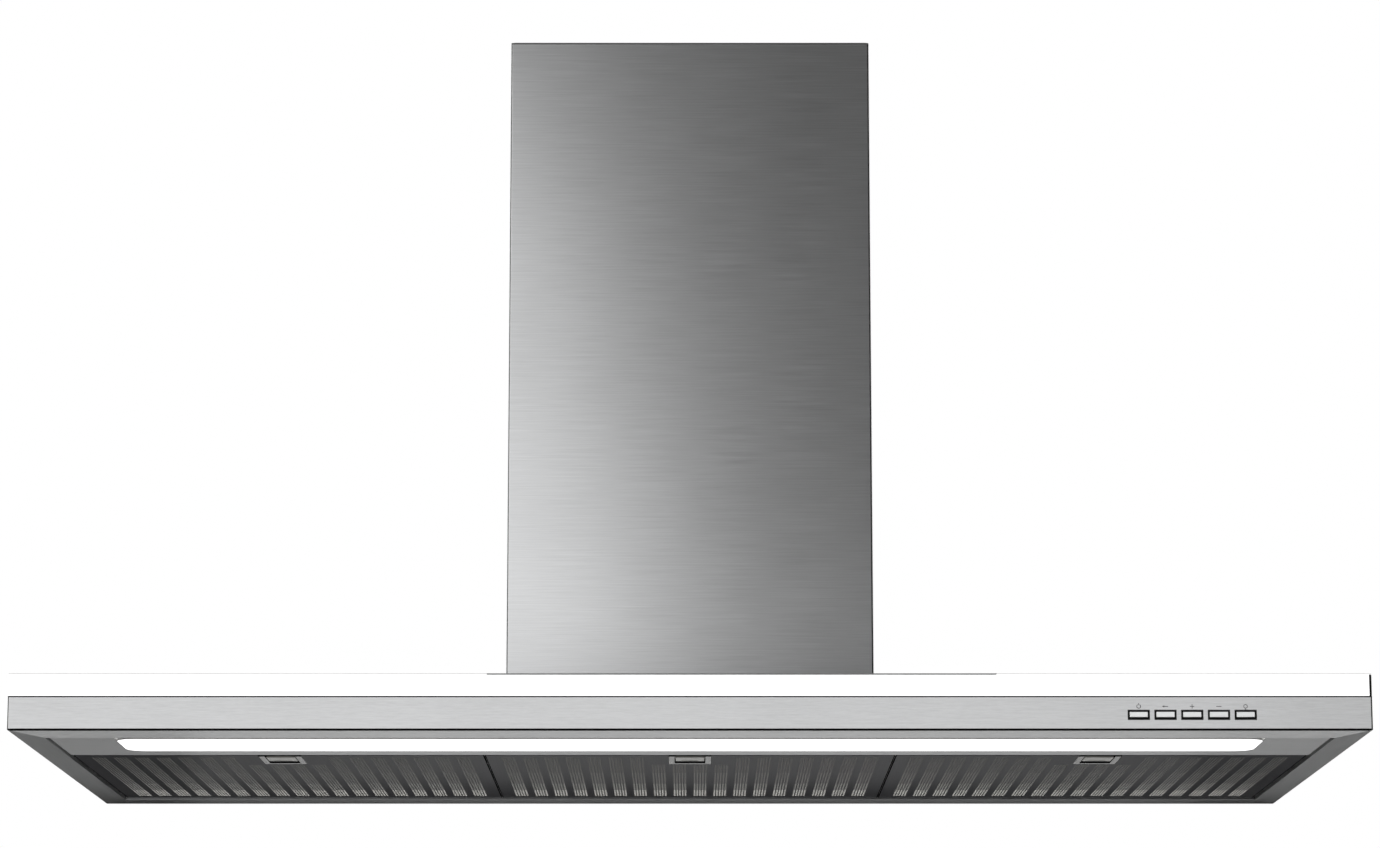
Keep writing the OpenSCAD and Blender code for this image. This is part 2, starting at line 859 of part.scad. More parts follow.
module filter_face(i) {
  x = i * filter_step;
  first = x - (stripes - 1) * stripe_pitch / 2;
  color(steel)
    difference() {
      block([x - filter_w / 2, filter_front_y, face_z], [x + filter_w / 2, filter_rear_y, frame_z]);
      for (k = [0:stripes - 1]) {
        sx = first + k * stripe_pitch;
        start = abs(sx - x) < latch_w / 2 + stripe_w ? latch_stripe_y : filter_front_y + stripe_end;
        block([sx - stripe_w / 2, start, face_z - 1],
              [sx + stripe_w / 2, filter_rear_y - stripe_end, frame_z + 1]);
      }
      block([x - latch_w / 2 - 0.2, filter_front_y - 1, face_z - 1],
            [x + latch_w / 2 + 0.2, filter_front_y + latch_d + 0.2, frame_z + 1]);
    }
}

module filter_frame(i) {
  x = i * filter_step;
  top = frame_z + filter_frame_h;
  color(pale)
    union() {
      difference() {
        block([x - filter_w / 2, filter_front_y, frame_z], [x + filter_w / 2, filter_rear_y, top]);
        block([x - filter_w / 2 + rail_w, filter_front_y + rail_w, frame_z - 1],
              [x + filter_w / 2 - rail_w, filter_rear_y - rail_w, top + 1]);
        for (nx = [x - filter_w / 2, x + filter_w / 2])
          block([nx - notch_w, filter_rear_y - notch_d, frame_z - 1],
                [nx + notch_w, filter_rear_y + 1, top + 1]);
        block([x - latch_w / 2 - 0.2, filter_front_y - 1, frame_z - 1],
              [x + latch_w / 2 + 0.2, filter_front_y + latch_d, face_z + latch_h + 0.1]);
      }
      for (s = [-1, 1])
        along_x(x + s * (filter_w / 2 - 5.5) - 4, filter_pivot_y, filter_pivot_z, filter_pin_r, 8);
    }
}

module filter_mesh(i) {
  x = i * filter_step;
  inner = rail_w + 0.1;
  color(zinc)
    for (z = [1, 3.5, 6])
      difference() {
        block([x - filter_w / 2 + inner, filter_front_y + inner, frame_z + z],
              [x + filter_w / 2 - inner, filter_rear_y - inner, frame_z + z + 0.4]);
        block([x - latch_w / 2 - 1, filter_front_y, frame_z],
              [x + latch_w / 2 + 1, filter_front_y + latch_d + 1, frame_z + 9]);
      }
}

module latch_frame(i) {
  x = i * filter_step;
  y0 = filter_front_y;
  color(pale)
    difference() {
      block([x - latch_w / 2, y0, face_z], [x + latch_w / 2, y0 + latch_d, face_z + latch_h]);
      block([x - tab_w / 2 - 0.3, y0 + latch_wall, face_z - 1],
            [x + tab_w / 2 + 0.3, pocket_end_y, face_z + latch_h - 1.5]);
      block([x - tab_w / 2 - 2.3, y0 + latch_wall, face_z + 2.2],
            [x + tab_w / 2 + 2.3, pocket_end_y, face_z + 4.3]);
      block([x - 9.3, y0 - 1, face_z + 1.2], [x + 9.3, y0 + latch_wall + 1, face_z + 3.8]);
    }
}

module latch(i) {
  x = i * filter_step;
  y0 = tab_front_y;
  color(pale)
    difference() {
      union() {
        block([x - tab_w / 2, y0, face_z], [x + tab_w / 2, y0 + tab_d, face_z + 4]);
        block([x - tab_w / 2 - 2, y0, face_z + 2.5], [x + tab_w / 2 + 2, y0 + tab_d, face_z + 4]);
        block([x - 9, filter_front_y + 0.2, face_z + 1.5], [x + 9, y0 + 2, face_z + 3.5]);
      }
      for (k = [0:3])
        block([x - 8, y0 + 22 + 3 * k, face_z - 1], [x + 8, y0 + 23.2 + 3 * k, face_z + 0.6]);
    }
}

ceiling_plate();
upper_posts();
upper_chimney();
chimney_screws();
lower_chimney();
chimney_collar();
lower_posts();
frame_bolts();
top_cover();
canopy_deck();
canopy_front();
canopy_rear();
canopy_left();
canopy_right();
glow_band();
glow_leds();
lamp_panel();
lamp_reflector();
lamp_tubes();
lamp_holders();
ballast();
lamp_diffuser();
button_bezel();
button_board();
button(0);  // button_1
button(1);  // button_2
button(2);  // button_3
button(3);  // button_4
button(4);  // button_5
control_box();
wiring();
filter_brackets();
blower_box();
blower_scroll();
blower_sides();
impeller();
motor_shaft();
motor();
motor_bracket();
capacitor();
outlet_collar();
flap_front();
flap_rear();
terminal_box();
cable_gland();
filter_face(-1);  // filter_face_left
filter_face(0);  // filter_face_middle
filter_face(1);  // filter_face_right
filter_frame(-1);  // filter_frame_left
filter_frame(0);  // filter_frame_middle
filter_frame(1);  // filter_frame_right
filter_mesh(-1);  // filter_mesh_left
filter_mesh(0);  // filter_mesh_middle
filter_mesh(1);  // filter_mesh_right
latch_frame(-1);  // latch_frame_left
latch_frame(0);  // latch_frame_middle
latch_frame(1);  // latch_frame_right
latch(-1);  // latch_left
latch(0);  // latch_middle
latch(1);  // latch_right
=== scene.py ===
import json
import math

import bmesh
import bpy
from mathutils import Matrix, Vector


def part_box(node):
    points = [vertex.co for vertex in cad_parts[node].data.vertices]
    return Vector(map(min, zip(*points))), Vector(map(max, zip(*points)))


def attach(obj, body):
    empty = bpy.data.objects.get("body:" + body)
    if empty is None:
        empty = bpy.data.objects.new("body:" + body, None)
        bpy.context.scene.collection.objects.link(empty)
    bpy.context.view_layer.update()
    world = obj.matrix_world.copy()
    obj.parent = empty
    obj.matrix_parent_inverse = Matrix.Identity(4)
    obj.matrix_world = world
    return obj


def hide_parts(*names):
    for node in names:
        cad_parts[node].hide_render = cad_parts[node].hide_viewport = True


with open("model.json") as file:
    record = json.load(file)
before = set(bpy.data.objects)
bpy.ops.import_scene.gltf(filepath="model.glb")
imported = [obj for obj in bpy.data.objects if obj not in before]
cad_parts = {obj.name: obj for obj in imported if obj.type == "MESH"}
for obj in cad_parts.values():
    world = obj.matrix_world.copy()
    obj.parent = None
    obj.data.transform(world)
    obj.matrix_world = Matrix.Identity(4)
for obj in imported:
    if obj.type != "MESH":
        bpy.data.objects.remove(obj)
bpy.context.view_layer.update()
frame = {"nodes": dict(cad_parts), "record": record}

MM = 0.001
SIDES = ("left", "middle", "right")

# Levels and lines of the canopy, read from the frame
under_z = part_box("canopy_front")[0].z
band_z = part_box("canopy_front")[1].z
front_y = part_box("canopy_front")[0].y
rear_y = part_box("canopy_rear")[1].y
side_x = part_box("canopy_front")[1].x


# ---------------------------------------------------------------- materials


def blank(name):
    """A new material with its tree and its main shader."""
    mat = bpy.data.materials.new(name)
    mat.use_nodes = True
    tree = mat.node_tree
    shader = tree.nodes["Principled BSDF"]
    return mat, tree, shader


def coordinates(tree, scale):
    """The object's own coordinates in metres, times a scale for each axis."""
    coords = tree.nodes.new("ShaderNodeTexCoord")
    mapping = tree.nodes.new("ShaderNodeMapping")
    mapping.inputs["Scale"].default_value = scale
    tree.links.new(coords.outputs["Object"], mapping.inputs["Vector"])
    return mapping.outputs["Vector"]


def noise(tree, vector, scale=1.0, detail=3.0, rough=0.6):
    node = tree.nodes.new("ShaderNodeTexNoise")
    node.inputs["Scale"].default_value = scale
    node.inputs["Detail"].default_value = detail
    node.inputs["Roughness"].default_value = rough
    tree.links.new(vector, node.inputs["Vector"])
    return node.outputs["Fac"]


def spread(tree, value, low, high):
    """Maps a noise's usual range to low..high, for a number socket."""
    node = tree.nodes.new("ShaderNodeMapRange")
    node.inputs["From Min"].default_value = 0.3
    node.inputs["From Max"].default_value = 0.7
    node.inputs["To Min"].default_value = low
    node.inputs["To Max"].default_value = high
    tree.links.new(value, node.inputs["Value"])
    return node.outputs["Result"]


def shades(tree, value, dark, light):
    """Maps a noise to a colour between dark and light."""
    ramp = tree.nodes.new("ShaderNodeValToRGB")
    ramp.color_ramp.elements[0].position = 0.3
    ramp.color_ramp.elements[0].color = (*dark, 1)
    ramp.color_ramp.elements[1].position = 0.7
    ramp.color_ramp.elements[1].color = (*light, 1)
    tree.links.new(value, ramp.inputs["Fac"])
    return ramp.outputs["Color"]


def bump(tree, shader, height, strength, distance):
    node = tree.nodes.new("ShaderNodeBump")
    node.inputs["Strength"].default_value = strength
    node.inputs["Distance"].default_value = distance
    tree.links.new(height, node.inputs["Height"])
    tree.links.new(node.outputs["Normal"], shader.inputs["Normal"])


def scaled(colour, factor):
    return tuple(c * factor for c in colour)


def brushed(name, tint, rough, along, line=1100.0, drift=14.0, contrast=0.06, grain=0.1, edge=1.0):
    """Steel brushed along one axis, with fine lines in its colour, gloss and relief.

    edge is the tint of its reflection at a grazing angle.
    """
    mat, tree, shader = blank(name)
    scale = tuple(drift if axis == along else line for axis in "xyz")
    vector = coordinates(tree, scale)
    lines = noise(tree, vector, 1.0, 5.0, 0.72)
    clouds = noise(tree, coordinates(tree, (6.0, 6.0, 6.0)), 1.0, 2.0, 0.5)
    mixed = tree.nodes.new("ShaderNodeMix")
    mixed.inputs["Factor"].default_value = 0.25
    tree.links.new(lines, mixed.inputs["A"])
    tree.links.new(clouds, mixed.inputs["B"])
    dark, light = scaled(tint, 1 - contrast), scaled(tint, 1 + contrast)
    tree.links.new(shades(tree, mixed.outputs["Result"], dark, light), shader.inputs["Base Color"])
    tree.links.new(spread(tree, lines, rough - 0.03, rough + 0.03), shader.inputs["Roughness"])
    shader.inputs["Metallic"].default_value = 1.0
    shader.inputs["Specular Tint"].default_value = (edge, edge, edge, 1)
    bump(tree, shader, lines, grain, 0.00003)
    return mat


def plastic(name, tint, rough, texture=2600.0, contrast=0.05, grain=0.2):
    """Moulded plastic with a fine spark-eroded texture."""
    mat, tree, shader = blank(name)
    fine = noise(tree, coordinates(tree, (texture,) * 3), 1.0, 2.0, 0.5)
    broad = noise(tree, coordinates(tree, (35.0,) * 3), 1.0, 3.0, 0.5)
    colour = shades(tree, broad, scaled(tint, 1 - contrast), scaled(tint, 1 + contrast))
    tree.links.new(colour, shader.inputs["Base Color"])
    tree.links.new(spread(tree, fine, rough - 0.06, rough + 0.08), shader.inputs["Roughness"])
    bump(tree, shader, fine, grain, 0.00002)
    return mat


def galvanised(name):
    """Zinc-coated sheet: crystal spangle in colour and gloss."""
    mat, tree, shader = blank(name)
    vector = coordinates(tree, (90.0,) * 3)
    cells = tree.nodes.new("ShaderNodeTexVoronoi")
    tree.links.new(vector, cells.inputs["Vector"])
    grey = tree.nodes.new("ShaderNodeSeparateColor")
    tree.links.new(cells.outputs["Color"], grey.inputs["Color"])
    colour = shades(tree, grey.outputs["Red"], (0.44, 0.46, 0.47), (0.62, 0.64, 0.65))
    tree.links.new(colour, shader.inputs["Base Color"])
    tree.links.new(spread(tree, grey.outputs["Green"], 0.36, 0.55), shader.inputs["Roughness"])
    shader.inputs["Metallic"].default_value = 1.0
    return mat


def glowing(name, strength, mottling=0.02):
    """Opal acrylic lit from behind; also a steel edge painted to glow, as painted light."""
    mat, tree, shader = blank(name)
    cloud = noise(tree, coordinates(tree, (12.0,) * 3), 1.0, 2.0, 0.5)
    tree.links.new(
        shades(tree, cloud, (1 - mottling,) * 3, (1.0, 1.0, 1.0)), shader.inputs["Emission Color"]
    )
    shader.inputs["Base Color"].default_value = (0.9, 0.9, 0.89, 1)
    shader.inputs["Roughness"].default_value = 0.35
    shader.inputs["Emission Strength"].default_value = strength
    return mat


def enamel(name, tint, rough):
    """Sprayed paint with a faint orange-peel surface."""
    mat, tree, shader = blank(name)
    peel = noise(tree, coordinates(tree, (700.0,) * 3), 1.0, 2.0, 0.5)
    broad = noise(tree, coordinates(tree, (14.0,) * 3), 1.0, 2.0, 0.5)
    tree.links.new(shades(tree, broad, scaled(tint, 0.96), tint), shader.inputs["Base Color"])
    tree.links.new(spread(tree, peel, rough - 0.03, rough + 0.05), shader.inputs["Roughness"])
    bump(tree, shader, peel, 0.15, 0.00003)
    return mat


def woven(name):
    """Layers of aluminium wire mesh: crossed wires, light on dark."""
    mat, tree, shader = blank(name)
    vector = coordinates(tree, (1.0, 1.0, 1.0))
    waves = []
    for turn in ("X", "Y"):
        wave = tree.nodes.new("ShaderNodeTexWave")
        wave.bands_direction = turn
        wave.inputs["Scale"].default_value = 180.0
        wave.inputs["Distortion"].default_value = 1.5
        wave.inputs["Detail"].default_value = 1.0
        tree.links.new(vector, wave.inputs["Vector"])
        waves.append(wave.outputs["Fac"])
    top = tree.nodes.new("ShaderNodeMath")
    top.operation = "MAXIMUM"
    tree.links.new(waves[0], top.inputs[0])
    tree.links.new(waves[1], top.inputs[1])
    colour = shades(tree, top.outputs["Value"], (0.30, 0.30, 0.29), (0.86, 0.86, 0.84))
    tree.links.new(colour, shader.inputs["Base Color"])
    shader.inputs["Metallic"].default_value = 0.6
    shader.inputs["Roughness"].default_value = 0.5
    bump(tree, shader, top.outputs["Value"], 0.8, 0.0004)
    return mat


def plain(name, tint, metallic, rough, edge=1.0, gloss=0.5):
    """One even look: drilled stripes, whose texture is their own holes, hole walls with painted
    light, the painted shade of dark gaps, and the stage.
    """
    mat, _, shader = blank(name)
    shader.inputs["Specular Tint"].default_value = (edge, edge, edge, 1)
    shader.inputs["Base Color"].default_value = (*tint, 1)
    shader.inputs["Metallic"].default_value = metallic
    shader.inputs["Roughness"].default_value = rough
    shader.inputs["Specular IOR Level"].default_value = gloss
    return mat


STEEL = (0.60, 0.605, 0.61)
SHEET = {"rough": 0.38, "line": 700.0, "drift": 14.0, "contrast": 0.12}
BAND = {"rough": 0.42, "along": "x", "line": 700.0, "drift": 60.0}
# Lit and shaded copies of one steel: the side lips and the rear are painted darker in tone and at a
# grazing angle, and the lamp panel at a grazing angle, as painted shade; the band is painted a
# little lighter in tone, as painted light, and darker at a grazing angle, as painted shade.
steel_x = brushed("steel_brushed_x", STEEL, along="x", **SHEET)
steel_y_painted_shade = brushed("steel_brushed_y", scaled(STEEL, 0.75), along="y", edge=0.18, **SHEET)
rear_steel_painted_shade = brushed("steel_rear", scaled(STEEL, 0.5), contrast=0.17, edge=0.12, **BAND)
panel_steel_painted_shade = brushed("steel_panel", STEEL, along="x", edge=0.27, **SHEET)
band_steel_painted_light_and_shade = brushed("steel_band", scaled(STEEL, 1.05), contrast=0.14, edge=0.42, **BAND)
DARK_STEEL = (0.115, 0.115, 0.12)
DARK_EDGE = 0.19
filter_steel = brushed("steel_filter", DARK_STEEL, 0.42, "y", edge=DARK_EDGE)
zinc = galvanised("zinc_spangle")
aluminium = brushed(
    "aluminium_satin", (0.62, 0.62, 0.63), 0.42, "x", line=160.0, drift=60.0, contrast=0.04
)
casting = plastic("cast_aluminium", (0.5, 0.5, 0.51), 0.5, 900.0, 0.08, 0.4)
glow = glowing("opal_band_lit", 1.25)
lens_glow = glowing("opal_lens_lit", 1.1)
# Painted light: the top cover's steel edge glows as if lit by the band
rim_painted_glow = glowing("cover_edge_painted_glow", 0.45)
white_enamel = enamel("white_enamel", (0.85, 0.85, 0.84), 0.35)
glass_white = enamel("tube_phosphor", (0.9, 0.9, 0.9), 0.2)
black_plastic = plastic("black_plastic", (0.012, 0.012, 0.013), 0.5)
# Painted shade: the grey of the band's top line near the chimney
pale_plastic = plastic("pale_plastic", (0.36, 0.37, 0.37), 0.45)
key_silver = brushed(
    "key_silver", (0.86, 0.87, 0.87), 0.42, "x", line=500.0, drift=60.0, contrast=0.03, grain=0.05
)
flap_plastic = plastic("flap_plastic", (0.55, 0.56, 0.56), 0.5)
sheath = plastic("cable_sheath", (0.02, 0.02, 0.022), 0.45)
board_green = enamel("circuit_board", (0.02, 0.14, 0.06), 0.3)
mesh_metal = woven("wire_mesh")
# Black of the key bezel and window rims, also painted as shade along the band's edges and at the
# lit band's right end
trim_black_and_painted_shade = plastic("black_trim_and_painted_shade", (0.006, 0.006, 0.006), 0.7)
# Painted shade: a black without reflection, painted where shadow falls in gaps, pockets and along
# edges
painted_shade_black = plain("painted_shade_black", (0.006, 0.006, 0.006), 0.0, 0.9, gloss=0.0)
# Painted light: what shows through the holes, their walls, is painted lighter towards the rear rail
# in four steps
hole_walls_painted_light = [
    plain(f"drilled_{place}", (level, 0.985 * level, 0.94 * level), 0.0, 0.6)
    for place, level in (("front", 0.22), ("middle", 0.28), ("near_rear", 0.42), ("rear", 0.8))
]
drilled_face = plain("drilled_face", DARK_STEEL, 1.0, 0.42, DARK_EDGE)
symbol_grey = plastic("symbol_print", (0.16, 0.16, 0.17), 0.6)
latch_plastic = plastic("latch_plastic", (0.115, 0.115, 0.113), 0.5)
tab_plastic = plastic("tab_plastic", (0.16, 0.157, 0.147), 0.5)
# Painted reflections for the chimney's folded edges, grey and near black
fold_reflection_paint_grey = plastic("chimney_fold_painted_reflection_grey", (0.10, 0.10, 0.10), 0.6)
fold_reflection_paint_dark = plastic("chimney_fold_painted_reflection_dark", (0.02, 0.02, 0.02), 0.6)
lens_side = plastic("lens_side", (0.30, 0.30, 0.30), 0.6)


# ---------------------------------------------------------------- making pieces

body_of_node = {n: b for b, nodes in frame["record"]["behaviour"]["bodies"].items() for n in nodes}


def piece_from(name, work, materials, body, smooth_deg=35):
    """Turns a bmesh into a piece that rides on a body."""
    mesh = bpy.data.meshes.new(name)
    work.to_mesh(mesh)
    work.free()
    obj = bpy.data.objects.new(name, mesh)
    bpy.context.collection.objects.link(obj)
    for mat in materials:
        mesh.materials.append(mat)
    mesh.polygons.foreach_set("use_smooth", [True] * len(mesh.polygons))
    mesh.set_sharp_from_angle(angle=math.radians(smooth_deg))
    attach(obj, body)
    return obj


def refine(node, mat, radius=0.4, segments=2):
    """A copy of a CAD node with clean faces and rounded edges, which stands for that node."""
    work = bmesh.new()
    work.from_mesh(frame["nodes"][node].data)
    bmesh.ops.remove_doubles(work, verts=work.verts, dist=1e-6)
    bmesh.ops.dissolve_limit(
        work, angle_limit=math.radians(0.5), verts=work.verts, edges=work.edges, delimit={"NORMAL"}
    )
    for face in work.faces:
        face.material_index = 0
    obj = piece_from(node + "_fine", work, [mat], body_of_node[node])
    if radius:
        bevel = obj.modifiers.new("edges", "BEVEL")
        bevel.width = radius * MM
        bevel.segments = segments
        bevel.limit_method = "ANGLE"
        bevel.angle_limit = math.radians(40)
        bevel.harden_normals = True
    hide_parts(node)
    return obj


# ---------------------------------------------------------------- looks of the CAD nodes

# Each node's material, and the radius in millimetres of its rounded edges
NODE_LOOKS = {
    "lower_chimney": (steel_x, 0.25),
    "upper_chimney": (steel_x, 0.2),
    "chimney_collar": (steel_x, 0),
    "top_cover": (steel_x, 0.3),
    "canopy_front": (band_steel_painted_light_and_shade, 0.5),
    "canopy_rear": (rear_steel_painted_shade, 0.5),
    "canopy_left": (steel_y_painted_shade, 0.5),
    "canopy_right": (steel_y_painted_shade, 0.5),
    "lamp_panel": (panel_steel_painted_shade, 0.3),
    "glow_band": (glow, 0.5),
    "lamp_diffuser": (lens_glow, 0.8),
    "lamp_reflector": (white_enamel, 0.2),
    "lamp_tubes": (glass_white, 0.3),
    "lamp_holders": (white_enamel, 0.4),
    "ballast": (white_enamel, 0.6),
    "button_bezel": (trim_black_and_painted_shade, 0.15),
    "button_board": (board_green, 0),
    "control_box": (black_plastic, 0.6),
    "wiring": (sheath, 0),
    "impeller": (black_plastic, 0),
    "motor": (casting, 0.8),
    "capacitor": (white_enamel, 0.8),
    "outlet_collar": (black_plastic, 0),
    "flap_front": (flap_plastic, 0),
    "flap_rear": (flap_plastic, 0),
    "terminal_box": (black_plastic, 0.8),
    "cable_gland": (black_plastic, 0.3),
    "glow_leds": (white_enamel, 0.1),
}
for number in range(1, 6):
    NODE_LOOKS[f"button_{number}"] = (key_silver, 0.3)
for side in SIDES:
    NODE_LOOKS[f"filter_face_{side}"] = (filter_steel, 0)
    NODE_LOOKS[f"filter_frame_{side}"] = (aluminium, 0.3)
    NODE_LOOKS[f"filter_mesh_{side}"] = (mesh_metal, 0)
    NODE_LOOKS[f"latch_frame_{side}"] = (latch_plastic, 0.4)
    NODE_LOOKS[f"latch_{side}"] = (tab_plastic, 0.4)

fine = {}
for node in frame["nodes"]:
    look, edge = NODE_LOOKS.get(node, (zinc, 0.3))
    fine[node] = refine(node, look, edge)


# ---------------------------------------------------------------- perforated stripes

HOLE_R = 1.05 * MM
COLUMNS = 5
ROW_PITCH = 2.7 * MM
CORNERS = 8


def perforated_strip(x0, x1, y0, y1, z0, z1, rows, offset):
    """Points and faces of a thin strip drilled with rows of holes, as a closed solid.

    Points are numbered from offset. The holes' walls and their places in y are returned apart.
    """
    step_x = (x1 - x0) / COLUMNS
    step_y = (y1 - y0) / rows
    turn = 2 * math.pi / CORNERS
    points = []
    grid = {}
    for j in range(rows + 1):
        for i in range(COLUMNS + 1):
            grid[i, j] = offset + len(points)
            points += [(x0 + i * step_x, y0 + j * step_y, z) for z in (z0, z1)]
    faces = []
    walls = []
    wall_ys = []
    for j in range(rows):
        for i in range(COLUMNS):
            cx, cy = x0 + (i + 0.5) * step_x, y0 + (j + 0.5) * step_y
            first = offset + len(points)
            for k in range(CORNERS):
                a = (k + 0.5) * turn
                x, y = cx + HOLE_R * math.cos(a), cy + HOLE_R * math.sin(a)
                points += [(x, y, z0), (x, y, z1)]
            square = [grid[i + 1, j + 1], grid[i, j + 1], grid[i, j], grid[i + 1, j]]
            for q in range(4):
                a, b, c = (first + 2 * ((2 * q + s) % CORNERS) for s in range(3))
                here, after = square[q], square[(q + 1) % 4]
                faces += [(a, b, here), (b, c, after, here)]
                faces += [(here + 1, b + 1, a + 1), (here + 1, after + 1, c + 1, b + 1)]
                walls += [(a, a + 1, b + 1, b), (b, b + 1, c + 1, c)]
                wall_ys += [points[p - offset][1] for p in (a, b)]
    for j in range(rows):
        for i, flip in ((0, False), (COLUMNS, True)):
            a, b = grid[i, j], grid[i, j + 1]
            faces.append((a, b, b + 1, a + 1) if flip else (a, a + 1, b + 1, b))
    for i in range(COLUMNS):
        for j, flip in ((0, True), (rows, False)):
            a, b = grid[i, j], grid[i + 1, j]
            faces.append((a, b, b + 1, a + 1) if flip else (a, a + 1, b + 1, b))
    return points, faces, walls, wall_ys


STRIPES = 18
STRIPE_PITCH = 20 * MM
STRIPE_W = 13.5 * MM
STRIPE_END = 16 * MM
LATCH_STRIPE = 80 * MM
LATCH_HALF = 33.5 * MM
STRIPES_A_PIECE = 6
# Where along y the painted light on the hole walls steps lighter
PAINTED_LIGHT_ZONES = (150 * MM, 250 * MM, 312 * MM)

perforations = []
for side in SIDES:
    low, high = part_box(f"filter_face_{side}")
    middle_x = (low.x + high.x) / 2
    for group in range(STRIPES // STRIPES_A_PIECE):
        points, faces, walls, light_zones = [], [], [], []
        for k in range(group * STRIPES_A_PIECE, (group + 1) * STRIPES_A_PIECE):
            off = (k - (STRIPES - 1) / 2) * STRIPE_PITCH
            start = low.y + (LATCH_STRIPE if abs(off) < LATCH_HALF else STRIPE_END)
            end = high.y - STRIPE_END
            x = middle_x + off
            rows = round((end - start) / ROW_PITCH)
            more = perforated_strip(
                x - STRIPE_W / 2, x + STRIPE_W / 2, start, end, low.z, high.z, rows, len(points)
            )
            points += more[0]
            faces += more[1]
            walls += more[2]
            light_zones += [sum(y - low.y > edge for edge in PAINTED_LIGHT_ZONES) for y in more[3]]
        name = f"perforation_{side}_{group + 1}"
        mesh = bpy.data.meshes.new(name)
        mesh.from_pydata(points, [], faces + walls)
        mesh.materials.append(drilled_face)
        for mat in hole_walls_painted_light:
            mesh.materials.append(mat)
        mesh.polygons.foreach_set("material_index", [0] * len(faces) + [1 + zone for zone in light_zones])
        strip = bpy.data.objects.new(name, mesh)
        bpy.context.collection.objects.link(strip)
        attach(strip, f"filter_{side}")
        perforations.append(strip)


# ---------------------------------------------------------------- painted shade and light, rims and symbols


def paint_cut(obj, axis, at, mat=None, inside=None):
    """Cuts a finished copy's mesh across an axis, and paints the faces that inside() picks."""
    normal = Vector([float(axis == name) for name in "xyz"])
    work = bmesh.new()
    work.from_mesh(obj.data)
    bmesh.ops.bisect_plane(
        work,
        geom=work.verts[:] + work.edges[:] + work.faces[:],
        plane_co=normal * at,
        plane_no=normal,
    )
    if mat:
        if mat.name not in obj.data.materials:
            obj.data.materials.append(mat)
        index = obj.data.materials.find(mat.name)
        for face in work.faces:
            if inside(face.calc_center_median()):
                face.material_index = index
    work.to_mesh(obj.data)
    work.free()


# Painted shade: shadow lines painted black along the folded edges of the front: the underside's
# front strip with the band's bottom edge, the band's top and its two ends
LINE = 1.2 * MM
LEFT_LINE = 0.72 * MM
UNDER_SHADE_DEPTH = 7 * MM
FACE_DEPTH = 1 * MM
front = fine["canopy_front"]
right_end, left_end = side_x - LINE, LEFT_LINE - side_x
paint_cut(front, "y", front_y + UNDER_SHADE_DEPTH)
paint_cut(front, "x", right_end)
paint_cut(front, "x", left_end)
paint_cut(
    front,
    "z",
    under_z + LINE,
    painted_shade_black,
    lambda c: c.z < under_z + LINE and c.y < front_y + UNDER_SHADE_DEPTH,
)
paint_cut(
    front,
    "z",
    band_z - LINE,
    trim_black_and_painted_shade,
    lambda c: c.y < front_y + FACE_DEPTH
    and (c.z > band_z - LINE or c.x > right_end or c.x < left_end),
)

# Painted shade: the open pocket round each latch tab, the frame's front strip and the rear end of
# the tab are painted black
GAP_SHADOW = 8 * MM
FRAME_FACE = 0.1 * MM
TAB_SHADOW = 7 * MM
TAB_HALF = 13.5 * MM
TAB_TRIM = 0.6 * MM
for side in SIDES:
    low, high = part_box(f"latch_frame_{side}")
    middle_x = (low.x + high.x) / 2
    shadow_y = low.y + GAP_SHADOW
    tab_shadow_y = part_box(f"latch_{side}")[1].y - TAB_SHADOW
    for vertex in fine[f"latch_{side}"].data.vertices:
        if abs(vertex.co.x - middle_x) > TAB_HALF:
            vertex.co.x -= math.copysign(TAB_TRIM, vertex.co.x - middle_x)
    paint_cut(
        fine[f"latch_frame_{side}"],
        "y",
        shadow_y,
        painted_shade_black,
        lambda c: c.z > low.z + FRAME_FACE or c.y < shadow_y,
    )
    paint_cut(fine[f"latch_{side}"], "y", tab_shadow_y, painted_shade_black, lambda c: c.y > tab_shadow_y)

# Painted shade: black strips along the sides of each filter's face, beside the joints
JOINT_SHADE = 0.9 * MM
for side in SIDES:
    low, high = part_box(f"filter_face_{side}")
    left_x, right_x = low.x + JOINT_SHADE, high.x - JOINT_SHADE
    paint_cut(fine[f"filter_face_{side}"], "x", left_x)
    paint_cut(
        fine[f"filter_face_{side}"],
        "x",
        right_x,
        painted_shade_black,
        lambda c: c.x < left_x or c.x > right_x,
    )

# Painted reflections on the chimney's folded edges, grey on the left and top, near black on the
# right; each row gives the material, where it starts and which way it runs
chimney_low, chimney_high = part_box("lower_chimney")
FOLDS = (
    (fold_reflection_paint_grey, "x", chimney_low.x + 1.2 * MM, -1),
    (fold_reflection_paint_dark, "x", chimney_high.x - 1.7 * MM, 1),
    (fold_reflection_paint_grey, "z", chimney_high.z - 1.4 * MM, 1),
)
for mat, axis, at, way in FOLDS:
    paint_cut(
        fine["lower_chimney"],
        axis,
        at,
        mat,
        lambda c: c.y < chimney_low.y + FACE_DEPTH and way * getattr(c, axis) > way * at,
    )

# The lamp cover's own rim doesn't glow
LENS_FACE = 0.15 * MM
LENS_RIM = 2.9 * MM
lens_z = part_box("lamp_diffuser")[0].z
paint_cut(
    fine["lamp_diffuser"],
    "z",
    lens_z + LENS_FACE,
    lens_side,
    lambda c: LENS_FACE < c.z - lens_z < LENS_RIM,
)

# Painted shade: the lit band's right end, 2.2 mm, is painted black at the front
CAP = 2.2 * MM
glow_low, glow_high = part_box("glow_band")
shade_x = glow_high.x - CAP
paint_cut(fine["glow_band"], "x", shade_x, trim_black_and_painted_shade, lambda c: c.x > shade_x and c.y < 0)

